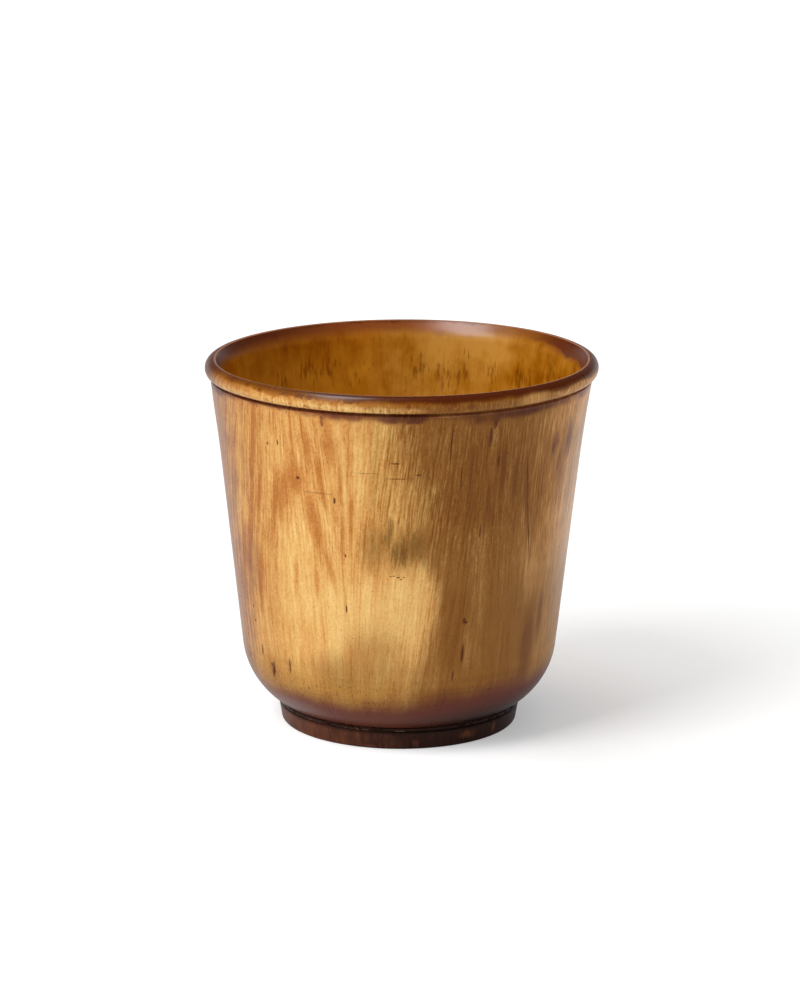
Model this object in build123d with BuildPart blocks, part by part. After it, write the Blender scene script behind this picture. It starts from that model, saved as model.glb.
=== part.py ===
"""Turned horn drinking cup.

A hollow length of horn is turned into a beaker with a beaded rim. A horn disc with a bevelled edge is
sprung into a groove inside its foot end, pitch seals the seam, and a turned foot ring is glued over the
short spigot below. Millimetres, +Z up, origin at the centre of the foot's resting face.
"""

import os
from math import acos, degrees, radians, sin, sqrt

from build123d import *

# Rim
rim_diameter = 92.0  # over the widest part of the bead
cup_height = 87.0  # table to the crest of the lip
bead_radius = 2.1  # round section of the bead outside the lip
crest_inset = 2.0  # from the widest part of the bead in to the crest of the lip
crest_land = 0.4  # worn flat on the crest
bead_undercut = 46.0  # degrees that the bead turns below its widest part
lip_bevel_height = 3.0  # dark bevel inside the mouth
groove_width = 1.0  # turned groove under the bead
groove_depth = 0.6  # from the wall's face to the bottom of the groove

# Wall
neck_inset = 1.4  # from the widest part of the bead in to the wall under the groove
wall_thickness = 2.8
flare_length = 19.5  # upper stretch of the wall that curls outwards
flare_reach = 0.6  # how far that stretch leaves the straight taper
shoulder_diameter = 73.9  # outside, where the straight taper ends
shoulder_height = 18.8
inside_radius = 9.0  # corner between the inner wall and the floor
floor_land = 0.4  # flat left on the floor between that corner and the pitch seam

# Foot ring
foot_height = 5.5  # also the height of the seat that the ring is glued against
foot_diameter = 57.2  # at the seat
foot_taper = 0.8  # how much the ring draws in, on the radius, from the seat to the table
foot_wall = 3.6  # radial thickness at the seat
foot_edge_chamfer = 0.6  # worn outer edge at the table
foot_inner_chamfer = 0.5
foot_top_chamfer = 0.35  # leaves the joint line between ring and beaker
quirk_drop = 1.1  # turned line round the ring, below the seat
quirk_depth = 0.3

# Base of the beaker
spigot_length = 3.3  # stub of the beaker that the foot ring slides over
spigot_wall = 3.0
floor_rise = 2.7  # inside floor above the seat of the foot ring
disc_thickness = 3.6
croze_depth = 0.8  # V groove in the bore that holds the edge of the disc
seal_depth = 0.5  # pitch seam round the disc

# Short flats that the small rounds are cut into, about as fine as the mesh is
bead_flats = 8
shoulder_flats = 8
corner_flats = 5

# Fits
glue_gap = 0.05  # foot ring on the spigot, on the radius
spring_gap = 0.05  # base disc in its bore, on the radius

rim_radius = rim_diameter / 2
crest_radius = rim_radius - crest_inset
neck_radius = rim_radius - neck_inset
shoulder_radius = shoulder_diameter / 2
seat_radius = foot_diameter / 2
spigot_radius = seat_radius - foot_wall
bore_radius = spigot_radius - spigot_wall

# Rim heights, from the crest down
bead_rise = sqrt(bead_radius**2 - (bead_radius - crest_inset) ** 2)
bead_centre = (rim_radius - bead_radius, cup_height - bead_rise)
crest_angle = degrees(acos((bead_radius - crest_inset) / bead_radius))
bead_end_height = bead_centre[1] - bead_radius * sin(radians(bead_undercut))
neck_height = bead_end_height - groove_width

# Floor and disc heights
floor_height = foot_height + floor_rise
disc_middle = floor_height - disc_thickness / 2
spigot_bottom = foot_height - spigot_length

# Beaker: one horn wall with its bead, groove, shoulder, spigot and disc groove
crest = (crest_radius, cup_height)
lip_edge = (crest_radius - crest_land, cup_height)
groove_bottom = (neck_radius - groove_depth, neck_height + groove_width / 2)
neck = (neck_radius, neck_height)
taper_top = (neck_radius - flare_reach, neck_height)
shoulder = (shoulder_radius, shoulder_height)
taper = Vector(*taper_top) - Vector(*shoulder)
flare_start = Vector(*taper_top) - taper * (flare_length / taper.Y)
seat_edge = (seat_radius, foot_height)

mouth = (neck_radius - wall_thickness, cup_height - lip_bevel_height)
inner_slope = (mouth[0] - (shoulder_radius - wall_thickness)) / (mouth[1] - shoulder_height)
floor_edge = (bore_radius + seal_depth, floor_height)
inner_corner = (mouth[0] - inner_slope * (mouth[1] - floor_height), floor_height)
corner_room = inner_corner[0] - floor_edge[0] - floor_land
corner_limit = corner_room * (inner_slope + sqrt(1 + inner_slope**2))


def flats(arc, count):
    """Points that cut an arc into equal short flats."""
    return [arc @ (step / count) for step in range(count + 1)]


with BuildPart() as horn_beaker:
    with BuildSketch(Plane.XZ):
        with BuildLine():
            bead_sweep = crest_angle + bead_undercut
            bead = CenterArc(bead_centre, bead_radius, crest_angle, -bead_sweep, mode=Mode.PRIVATE)
            Polyline(*flats(bead, bead_flats), groove_bottom, neck)
            TangentArc(flare_start, neck, tangent=taper)
            Line(flare_start, shoulder)
            shoulder_round = TangentArc(shoulder, seat_edge, tangent=-taper, mode=Mode.PRIVATE)
            Polyline(
                *flats(shoulder_round, shoulder_flats),
                (spigot_radius, foot_height),
                (spigot_radius, spigot_bottom),
                (bore_radius, spigot_bottom),
                (bore_radius, disc_middle - croze_depth),
                (bore_radius + croze_depth, disc_middle),
                (bore_radius, disc_middle + croze_depth),
                (bore_radius, floor_height - seal_depth),
                floor_edge,
            )
            corner_radius = min(inside_radius, corner_limit)
            inner = FilletPolyline(floor_edge, inner_corner, mouth, radius=corner_radius, mode=Mode.PRIVATE)
            corner = inner.edges().filter_by(GeomType.CIRCLE)[0]
            Polyline(floor_edge, *flats(corner, corner_flats), mouth, lip_edge, crest)
        make_face()
    revolve(axis=Axis.Z)
horn_beaker.part.label = "horn_beaker"

# Base disc: its bevelled edge springs into the groove while the beaker is hot and soft
disc_radius = bore_radius - spring_gap
disc_bottom = floor_height - disc_thickness

with BuildPart() as base_disc:
    with BuildSketch(Plane.XZ):
        with BuildLine():
            Polyline(
                (0, disc_bottom),
                (disc_radius, disc_bottom),
                (disc_radius, disc_middle - croze_depth),
                (disc_radius + croze_depth, disc_middle),
                (disc_radius, disc_middle + croze_depth),
                (disc_radius, floor_height - seal_depth),
                (disc_radius - seal_depth, floor_height),
                (0, floor_height),
                close=True,
            )
        make_face()
    revolve(axis=Axis.Z)
base_disc.part.label = "base_disc"

# Pitch seam: fills the trough between the chamfered disc and the chamfered bore
with BuildPart() as pitch_seam:
    with BuildSketch(Plane.XZ):
        with BuildLine():
            Polyline(
                (disc_radius, floor_height - seal_depth),
                (bore_radius, floor_height - seal_depth),
                (bore_radius + seal_depth, floor_height),
                (disc_radius - seal_depth, floor_height),
                close=True,
            )
        make_face()
    revolve(axis=Axis.Z)
pitch_seam.part.label = "pitch_seam"

# Foot ring: slightly tapered, with a turned line near its top and a worn edge at the table
foot_bore_radius = spigot_radius + glue_gap
table_radius = seat_radius - foot_taper


def foot_face_radius(height):
    """Outer radius of the ring's tapered face at a height above the table."""
    return table_radius + foot_taper * height / foot_height


quirk_middle = foot_height - quirk_drop

with BuildPart() as foot_ring:
    with BuildSketch(Plane.XZ):
        with BuildLine():
            Polyline(
                (foot_bore_radius + foot_inner_chamfer, 0),
                (table_radius - foot_edge_chamfer, 0),
                (foot_face_radius(foot_edge_chamfer), foot_edge_chamfer),
                (foot_face_radius(quirk_middle - quirk_depth), quirk_middle - quirk_depth),
                (foot_face_radius(quirk_middle) - quirk_depth, quirk_middle),
                (foot_face_radius(quirk_middle + quirk_depth), quirk_middle + quirk_depth),
                (foot_face_radius(foot_height - foot_top_chamfer), foot_height - foot_top_chamfer),
                (seat_radius - foot_top_chamfer, foot_height),
                (foot_bore_radius, foot_height),
                (foot_bore_radius, foot_inner_chamfer),
                close=True,
            )
        make_face()
    revolve(axis=Axis.Z)
foot_ring.part.label = "foot_ring"

os.makedirs("parts", exist_ok=True)
for piece in (horn_beaker, base_disc, pitch_seam, foot_ring):
    export_step(piece.part, f"parts/{piece.part.label}.step")
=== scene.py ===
"""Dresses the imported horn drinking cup: turned meshes, horn finishes and a white studio."""

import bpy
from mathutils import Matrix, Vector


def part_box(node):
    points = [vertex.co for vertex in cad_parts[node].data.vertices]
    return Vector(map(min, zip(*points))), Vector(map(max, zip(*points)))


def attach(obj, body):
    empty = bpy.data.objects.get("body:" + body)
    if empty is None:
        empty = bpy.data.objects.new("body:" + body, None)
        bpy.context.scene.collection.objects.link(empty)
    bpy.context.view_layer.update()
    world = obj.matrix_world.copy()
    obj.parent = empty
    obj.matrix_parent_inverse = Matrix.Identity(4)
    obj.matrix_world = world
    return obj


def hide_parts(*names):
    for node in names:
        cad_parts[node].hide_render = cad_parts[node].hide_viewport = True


bl_info = {
    "name": "Horn Drinking Cup",
    "version": (1, 0, 0),
    "blender": (4, 5, 0),
    "location": "View3D > Sidebar > Horn Cup",
    "description": "Turns the pieces of a horn drinking cup, gives them their finishes and lights them",
    "category": "Object",
}

from math import atan2, cos, pi, radians, sin, sqrt, tan
from typing import NamedTuple

import bmesh
import bpy
from mathutils import Vector

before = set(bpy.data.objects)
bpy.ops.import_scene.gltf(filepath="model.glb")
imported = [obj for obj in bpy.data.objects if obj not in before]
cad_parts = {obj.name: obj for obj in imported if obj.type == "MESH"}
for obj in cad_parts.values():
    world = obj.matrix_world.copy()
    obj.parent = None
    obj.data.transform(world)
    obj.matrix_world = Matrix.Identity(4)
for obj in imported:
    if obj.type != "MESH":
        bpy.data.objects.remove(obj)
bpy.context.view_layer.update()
BEAKER_LOW, BEAKER_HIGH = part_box("horn_beaker")
DISC_LOW, DISC_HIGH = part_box("base_disc")
BEAKER_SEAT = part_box("foot_ring")[1].z
DISC_MIDDLE = (DISC_HIGH.z + DISC_LOW.z) / 2

BODY = "root"
MM = 0.001
TURN = 2 * pi

# Layout of nodes in an editor
NODE_ROWS = 6
NODE_WIDTH = 240
NODE_HEIGHT = 220

# Studio: colours, the camera's sensor in millimetres, and the softboxes in metres
WHITE = (1.0, 1.0, 1.0, 1.0)
FLOOR_GREY = (0.8, 0.8, 0.8, 1.0)
SENSOR_WIDTH = 36.0
KEY_SIZE = (1.0, 1.5)
TOP_SIZE = (0.7, 0.7)
TOP_PLACE = (-0.35, 0.1, 1.4)

# Millimetres that turn an angle round the wall into a width: its mean radius
WALL_RADIUS = 40.0
# Edges between faces that meet at more than this stay sharp
SHARP_ANGLE = radians(35)
# Points of the turned mesh closer than this become one
MERGE_DISTANCE = 0.001 * MM
# Noise scales, per metre, of the slow wander of a face and of the chips
WANDER_SCALE = 45.0
CHIP_SCALE = 900.0
# Gloss coat where a softbox shows
COAT_ROUGHNESS = 0.26
COAT_IOR = 2.3
# A colour ramp ends at 1, so the grain is scaled to leave room for its palest threads
RAMP_ROOM = 0.8


def length(name, description, default):
    """A property that holds a length in metres."""
    return bpy.props.FloatProperty(
        name=name, description=description, default=default, unit="LENGTH", subtype="DISTANCE", precision=5
    )


def angle(name, description, default):
    """A property that holds an angle in radians."""
    return bpy.props.FloatProperty(
        name=name, description=description, default=default, unit="ROTATION", subtype="ANGLE"
    )


def number(name, description, default):
    """A property that holds a plain number."""
    return bpy.props.FloatProperty(name=name, description=description, default=default)


def linear(*channels):
    """Scene-linear values of a display colour given from 0 to 255."""
    shares = [c / 255 for c in channels]
    return tuple(s / 12.92 if s <= 0.04045 else ((s + 0.055) / 1.055) ** 2.4 for s in shares)


def colour(name, description, *channels):
    """A property that holds a colour, whose default is given as display values from 0 to 255."""
    return bpy.props.FloatVectorProperty(
        name=name, description=description, default=linear(*channels), size=3, min=0, max=1, subtype="COLOR"
    )


class CupSizes(bpy.types.PropertyGroup):
    """Sizes of the turned pieces, in metres."""

    rim_radius: length("Rim radius", "Over the widest part of the bead", BEAKER_HIGH.x)
    crest_height: length("Crest height", "Table to the top of the lip", BEAKER_HIGH.z)
    bead_radius: length("Bead radius", "Round section outside the lip", 2.1 * MM)
    crest_inset: length("Crest inset", "From the widest part of the bead in to the crest", 2.0 * MM)
    crest_land: length("Crest land", "Worn flat on the crest", 0.4 * MM)
    crest_round: length("Crest rounding", "Worn inner edge of the crest", 0.35 * MM)
    mouth_round: length("Mouth rounding", "Worn ridge under the lip's bevel", 1.5 * MM)
    bead_undercut: angle("Bead undercut", "How far the bead turns below its widest part", radians(46))
    lip_bevel: length("Lip bevel", "Height of the bevel inside the mouth", 3.0 * MM)
    groove_width: length("Groove width", "Turned groove under the bead", 1.0 * MM)
    groove_depth: length("Groove depth", "From the wall's face to the bottom of the groove", 0.6 * MM)
    neck_inset: length("Neck inset", "From the widest part of the bead in to the wall", 1.4 * MM)
    wall: length("Wall", "Thickness of the horn", 2.8 * MM)
    flare_length: length("Flare length", "Upper stretch of the wall that curls outwards", 19.5 * MM)
    flare_reach: length("Flare reach", "How far that stretch leaves the straight taper", 0.6 * MM)
    shoulder_radius: length("Shoulder radius", "Where the straight taper ends", 36.95 * MM)
    shoulder_height: length("Shoulder height", "Where the straight taper ends", 18.8 * MM)
    inside_corner: length("Inside corner", "Rounding between inner wall and floor", 9.0 * MM)
    seat_radius: length("Seat radius", "Outer edge of the seat of the foot ring", 28.6 * MM)
    foot_wall: length("Foot wall", "Radial thickness of the foot ring", 3.6 * MM)
    foot_taper: length("Foot taper", "How much the ring draws in towards the table", 0.8 * MM)
    foot_edge: length("Foot edge", "Worn rounding at the table", 0.7 * MM)
    foot_chamfer: length("Foot chamfer", "Chamfer at the top of the foot ring", 0.35 * MM)
    foot_inner: length("Foot inner edge", "Chamfer inside the foot ring at the table", 0.5 * MM)
    chip_drop: length("Chip drop", "From the seat down to the middle of the chips", 0.35 * MM)
    chip_reach: length("Chip reach", "How far the chips spread up and down", 0.6 * MM)
    chip_depth: length("Chip depth", "How deep the chips go", 0.4 * MM)
    quirk_drop: length("Turned line drop", "From the seat down to the line round the foot ring", 1.1 * MM)
    quirk_depth: length("Turned line depth", "Depth of the line round the foot ring", 0.3 * MM)
    spigot_wall: length("Spigot wall", "Stub of the beaker inside the foot ring", 3.0 * MM)
    croze: length("Disc groove", "Depth of the groove that holds the disc", 0.8 * MM)
    seal: length("Seal", "Depth of the pitch seam", 0.5 * MM)
    glue_gap: length("Glue gap", "Foot ring to spigot", 0.05 * MM)
    spring_gap: length("Spring gap", "Disc to its bore", 0.05 * MM)
    unevenness: length("Unevenness", "How far a turned face wanders inwards", 0.12 * MM)
    warp_angle: angle("Warp angle", "Where the dried horn has pulled the rim in most", radians(-110))
    warp_inwards: length("Warp inwards", "How far the rim is pulled in there", 0.5 * MM)
    warp_down: length("Warp down", "How far the rim has sunk there", 0.55 * MM)
    warp_from: length("Warp from", "Height where the pull begins", 74 * MM)
    segments: bpy.props.IntProperty(
        name="Segments", description="Facets round each piece", default=480, min=16
    )


class HornColours(bpy.types.PropertyGroup):
    """Colours of the horn and of what has soaked into it."""

    rust: colour("Rust", "Orange-brown streaks of the light horn", 186, 116, 52)
    gold: colour("Gold", "Darker fibres of the light horn", 207, 142, 73)
    straw: colour("Straw", "Light horn", 217, 158, 88)
    wheat: colour("Wheat", "Paler fibres of the light horn", 226, 170, 98)
    cream: colour("Cream", "Palest horn, which glows low on the front", 236, 190, 116)
    ivory: colour("Ivory", "Palest threads in that glow", 246, 206, 134)
    rose: colour("Rose", "Pinkish horn towards the left", 146, 98, 74)
    blush: colour("Blush", "Tint of that horn", 222, 216, 242)
    sage: colour("Sage", "Tint of the greenish fibres in the middle of the front", 206, 220, 192)
    olive: colour("Olive", "Tint of the greenish smudges in the pale horn", 170, 160, 132)
    bark: colour("Bark", "Darkest fibres of the dark horn", 112, 58, 14)
    umber: colour("Umber", "Dark horn of the right side", 134, 82, 26)
    tan: colour("Tan", "Pale fibres of the dark horn", 156, 106, 48)
    sand: colour("Sand", "Palest stretches of the dark horn", 202, 150, 92)
    honey: colour("Honey", "Tint of the browner horn near the bottom", 206, 198, 166)
    violet: colour("Violet", "Tint of the thin edges of the stains", 188, 156, 164)
    plum: colour("Plum", "Stain in the groove and in the dark streaks", 70, 28, 26)
    mauve: colour("Mauve", "Reddish-brown bottom of the bowl", 106, 51, 40)
    soot: colour("Soot", "Pits, cracks and old dirt", 78, 34, 6)
    toffee: colour("Toffee", "Upper face of the bead", 142, 84, 6)
    lip: colour("Lip", "Reddish-brown crest of the lip", 78, 27, 3)
    bevel: colour("Bevel", "Brown bevel inside the mouth", 130, 64, 28)
    # Paler horn with a painted highlight: the bevel behind on the right and the crest's worn edge
    bloom: colour("Bloom", "Paler stretch of that bevel", 172, 112, 78)
    fleck: colour("Fleck", "Dark streaks inside the cup", 104, 46, 0)
    resin: colour("Resin", "Tint of the shaded horn inside the cup", 255, 234, 120)
    syrup: colour("Syrup", "Darker horn inside the cup", 150, 86, 2)
    amber: colour("Amber", "Inside of the cup", 176, 112, 20)
    apricot: colour("Apricot", "Palest horn inside the cup", 206, 146, 58)
    foot: colour("Foot", "Almost black foot ring", 52, 29, 22)
    foot_warm: colour("Foot streaks", "Brown streaks on the foot ring", 128, 74, 50)
    foot_worn: colour("Foot wear", "Rubbed edges of the foot ring", 146, 110, 84)
    pitch: colour("Pitch", "Sealing pitch round the disc", 30, 19, 14)


class Studio(bpy.types.PropertyGroup):
    """Camera and lights."""

    lens: number("Lens", "Focal length in millimetres on a 36 mm sensor", 136.5)
    distance: length("Distance", "Camera to the middle of the cup", 890.7 * MM)
    elevation: angle("Elevation", "Camera above the horizon", radians(14.66))
    middle: length("Middle", "Height of the cup's middle, which the camera was measured from", 43 * MM)
    aim_height: length("Aim height", "Height that the middle of the picture looks at", 52.4 * MM)
    aim_side: length("Aim side", "How far right of the axis the picture looks", 0.0)
    roll: angle("Roll", "Turn of the camera about its view", radians(0.33))
    fill: number("Fill", "Light from all round", 0.5)
    lift: number("Lift", "Extra white of the floor as the camera sees it", 0.29)
    # Painted light on the floor, which pales the shadow in front of the cup and to its left
    near_lift: number("Near lift", "Extra white of the floor in front of the cup and to its left", 0.23)
    far_lift: number("Far lift", "Extra white of the floor far from the cup", 0.4)
    gloss: number("Gloss", "Light from the front as the gloss shows it", 0.1)
    floor_gloss: number("Floor gloss", "Share of the floor's extra white that the gloss shows", 0.3)
    floor_half: length("Floor half", "Half the side of the floor", 6.0)
    key_power: number("Key power", "Watts of the tall softbox on the left", 32.0)
    key_azimuth: angle("Key azimuth", "How far left of the camera the softbox stands", radians(52))
    key_elevation: angle("Key elevation", "How high the softbox stands", radians(44))
    key_distance: length("Key distance", "Softbox to the cup", 2.2)
    top_power: number("Top power", "Watts of the softbox overhead", 4.0)


class Value:
    """An output of a node. Arithmetic with it, and the steps below, add nodes to its graph."""

    def __init__(self, graph, socket):
        self.graph = graph
        self.socket = socket

    def __add__(self, other):
        return self.graph.math("ADD", self, other)

    def __sub__(self, other):
        return self.graph.math("SUBTRACT", self, other)

    def __rsub__(self, other):
        return self.graph.math("SUBTRACT", other, self)

    def __mul__(self, other):
        return self.graph.math("MULTIPLY", self, other)

    def __truediv__(self, other):
        return self.graph.math("DIVIDE", self, other)

    def __rtruediv__(self, other):
        return self.graph.math("DIVIDE", other, self)

    def __abs__(self):
        return self.graph.math("ABSOLUTE", self)

    def step(self, low, high):
        """Smooth rise from 0 at low to 1 at high. With low above high it falls."""
        if low < high:
            values = {"From Min": low, "From Max": high}
        else:
            values = {"From Min": high, "From Max": low, "To Min": 1.0, "To Max": 0.0}
        values["Value"] = self
        return self.graph.value("ShaderNodeMapRange", values, "Result", interpolation_type="SMOOTHSTEP")

    def window(self, low, full, still, gone):
        """Smooth rise from 0 at low to 1 at full, and fall from still to gone."""
        return self.step(low, full) * self.step(gone, still)

    def spread(self, low, high):
        """A value from 0 to 1 stretched evenly between low and high."""
        values = {"Value": self, "To Min": low, "To Max": high}
        return self.graph.value("ShaderNodeMapRange", values, "Result")

    def curve(self, points):
        """A result read off a line through points of value and result."""
        across, results = zip(*points)
        low, high = min(results), max(results)
        values = {"Value": self, "From Min": across[0], "From Max": across[-1]}
        share = self.graph.value("ShaderNodeMapRange", values, "Result")
        node = self.graph.add("ShaderNodeFloatCurve", {"Value": share})
        line = node.mapping.curves[0].points
        while len(line) < len(points):
            line.new(0.5, 0.5)
        for knot, x, result in zip(line, across, results):
            knot.location = ((x - across[0]) / (across[-1] - across[0]), (result - low) / (high - low))
        node.mapping.update()
        return Value(self.graph, node.outputs[0]).spread(low, high)

    def ramp(self, *stops):
        """A colour read off stops of value and colour; the values are shares from 0 to 1."""
        node = self.graph.add("ShaderNodeValToRGB", {"Fac": self})
        elements = node.color_ramp.elements
        while len(elements) < len(stops):
            elements.new(0.5)
        for element, (share, tone) in zip(elements, stops):
            element.position = share
            element.color = (*tone, 1.0)
        return Value(self.graph, node.outputs["Color"])

    def mix(self, factor, tone):
        """This colour, giving way to another where the factor is above zero."""
        return self.graph.mix(factor, self, tone)

    def tint(self, factor, tone):
        """This colour times another, where the factor is above zero."""
        return self.graph.mix(factor, self, tone, "MULTIPLY")

    def shade(self, brightness):
        """This colour times a brightness."""
        return self.tint(1.0, self.graph.vector(brightness, brightness, brightness))


def most(first, *others):
    """The greatest of several values."""
    for other in others:
        first = first.graph.math("MAXIMUM", first, other)
    return first


class Graph:
    """Adds nodes to one tree, so that a finish or a shape reads as a list of steps."""

    def __init__(self, tree):
        self.tree = tree
        self.count = 0

    def add(self, kind, values=None, **settings):
        """A new node with its settings, and with values or links on its inputs."""
        node = self.tree.nodes.new(kind)
        column, row = divmod(self.count, NODE_ROWS)
        node.location = (NODE_WIDTH * column, -NODE_HEIGHT * row)
        self.count += 1
        for name, setting in settings.items():
            setattr(node, name, setting)
        for key, value in (values or {}).items():
            self.feed(node.inputs[key], value)
        return node

    def feed(self, socket, value):
        """Links an output to a socket, or sets the socket's own value."""
        if isinstance(value, Value):
            self.tree.links.new(value.socket, socket)
        else:
            socket.default_value = value

    def value(self, kind, values=None, output=0, **settings):
        """One output of a new node."""
        return Value(self, self.add(kind, values, **settings).outputs[output])

    def outputs(self, kind, values=None, **settings):
        """The outputs of a new node, by name."""
        return {socket.name: Value(self, socket) for socket in self.add(kind, values, **settings).outputs}

    def math(self, operation, *values):
        """An operation on numbers."""
        return self.value("ShaderNodeMath", dict(enumerate(values)), operation=operation)

    def vectors(self, operation, *values, output=0):
        """An operation on vectors."""
        return self.value("ShaderNodeVectorMath", dict(enumerate(values)), output, operation=operation)

    def vector(self, x, y, z):
        """A vector from its three parts."""
        return self.value("ShaderNodeCombineXYZ", {"X": x, "Y": y, "Z": z})

    def axes(self, vector):
        """The three parts of a vector."""
        parts = self.outputs("ShaderNodeSeparateXYZ", {"Vector": vector})
        return parts["X"], parts["Y"], parts["Z"]

    def point(self):
        """Object coordinates."""
        return self.value("ShaderNodeTexCoord", output="Object")

    def noise(self, vector, scale=1.0, detail=2.0, roughness=0.5):
        """Noise round one half."""
        values = {"Vector": vector, "Scale": scale, "Detail": detail, "Roughness": roughness}
        return self.value("ShaderNodeTexNoise", values, "Fac")

    def mix(self, factor, first, second, blend_type="MIX"):
        """Colour mix, whose colours are inputs 6 and 7 and output 2; a plain colour has three channels."""
        first, second = (tone if isinstance(tone, Value) else (*tone, 1.0) for tone in (first, second))
        values = {0: factor, 6: first, 7: second}
        return self.value("ShaderNodeMix", values, 2, data_type="RGBA", blend_type=blend_type)

    def group(self, name, values=None):
        """The outputs of one of the shader groups."""
        return self.outputs("ShaderNodeGroup", values, node_tree=bpy.data.node_groups[name])


def empty_graph(owner):
    """Graph of the emptied tree of a material or a world."""
    owner.use_nodes = True
    owner.node_tree.nodes.clear()
    return Graph(owner.node_tree)


def node_group(name, kind, inputs, outputs):
    """A new node group: its graph, inputs and outputs. An input has a default number or a kind of socket."""
    tree = bpy.data.node_groups.new(name, kind)
    for label, given in inputs.items():
        socket_type = given if isinstance(given, str) else type(given).__name__.capitalize()
        socket = tree.interface.new_socket(label, in_out="INPUT", socket_type=f"NodeSocket{socket_type}")
        if not isinstance(given, str):
            socket.default_value = given
    for label, socket_type in outputs.items():
        tree.interface.new_socket(label, in_out="OUTPUT", socket_type=f"NodeSocket{socket_type}")
    graph = Graph(tree)
    return graph, graph.outputs("NodeGroupInput"), graph.add("NodeGroupOutput").inputs


class Outline:
    """Half section of a turned piece, as points of radius and height, from lines and arcs."""

    def __init__(self, start):
        self.points = [Vector(start)]
        self.inside = [False]
        self.worn_from = None

    def add(self, points, inside):
        """Adds points, on the inside of the cup or not."""
        self.points += points
        self.inside += [inside] * len(points)

    def line(self, end, spacing=None, inside=False):
        """Line from the last point, in facets of about the spacing, or in one."""
        start, end = self.points[-1], Vector(end)
        count = max(1, round((end - start).length / spacing)) if spacing else 1
        self.add([start.lerp(end, (i + 1) / count) for i in range(count)], inside)

    def lines(self, *ends):
        """Lines from point to point, each in one facet."""
        for end in ends:
            self.line(end)

    def arc(self, centre, turn, spacing, inside=False):
        """Arc from the last point round a centre; a positive turn is anticlockwise."""
        arm = self.points[-1] - Vector(centre)
        count = max(2, round(abs(turn) * arm.length / spacing))
        first = atan2(arm.y, arm.x)
        steps = [first + turn * (i + 1) / count for i in range(count)]
        self.add([Vector(centre) + arm.length * Vector((cos(a), sin(a))) for a in steps], inside)

    def tangent_arc(self, end, tangent, spacing, inside=False):
        """Arc from the last point that starts along a tangent and reaches the end."""
        start, end = self.points[-1], Vector(end)
        chord = end - start
        normal = Vector((-tangent.y, tangent.x)).normalized()
        radius = chord.length_squared / (2 * chord.dot(normal))
        turn = 2 * atan2(chord.dot(normal), chord.dot(tangent.normalized()))
        self.arc(start + normal * radius, turn, spacing, inside)


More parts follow.
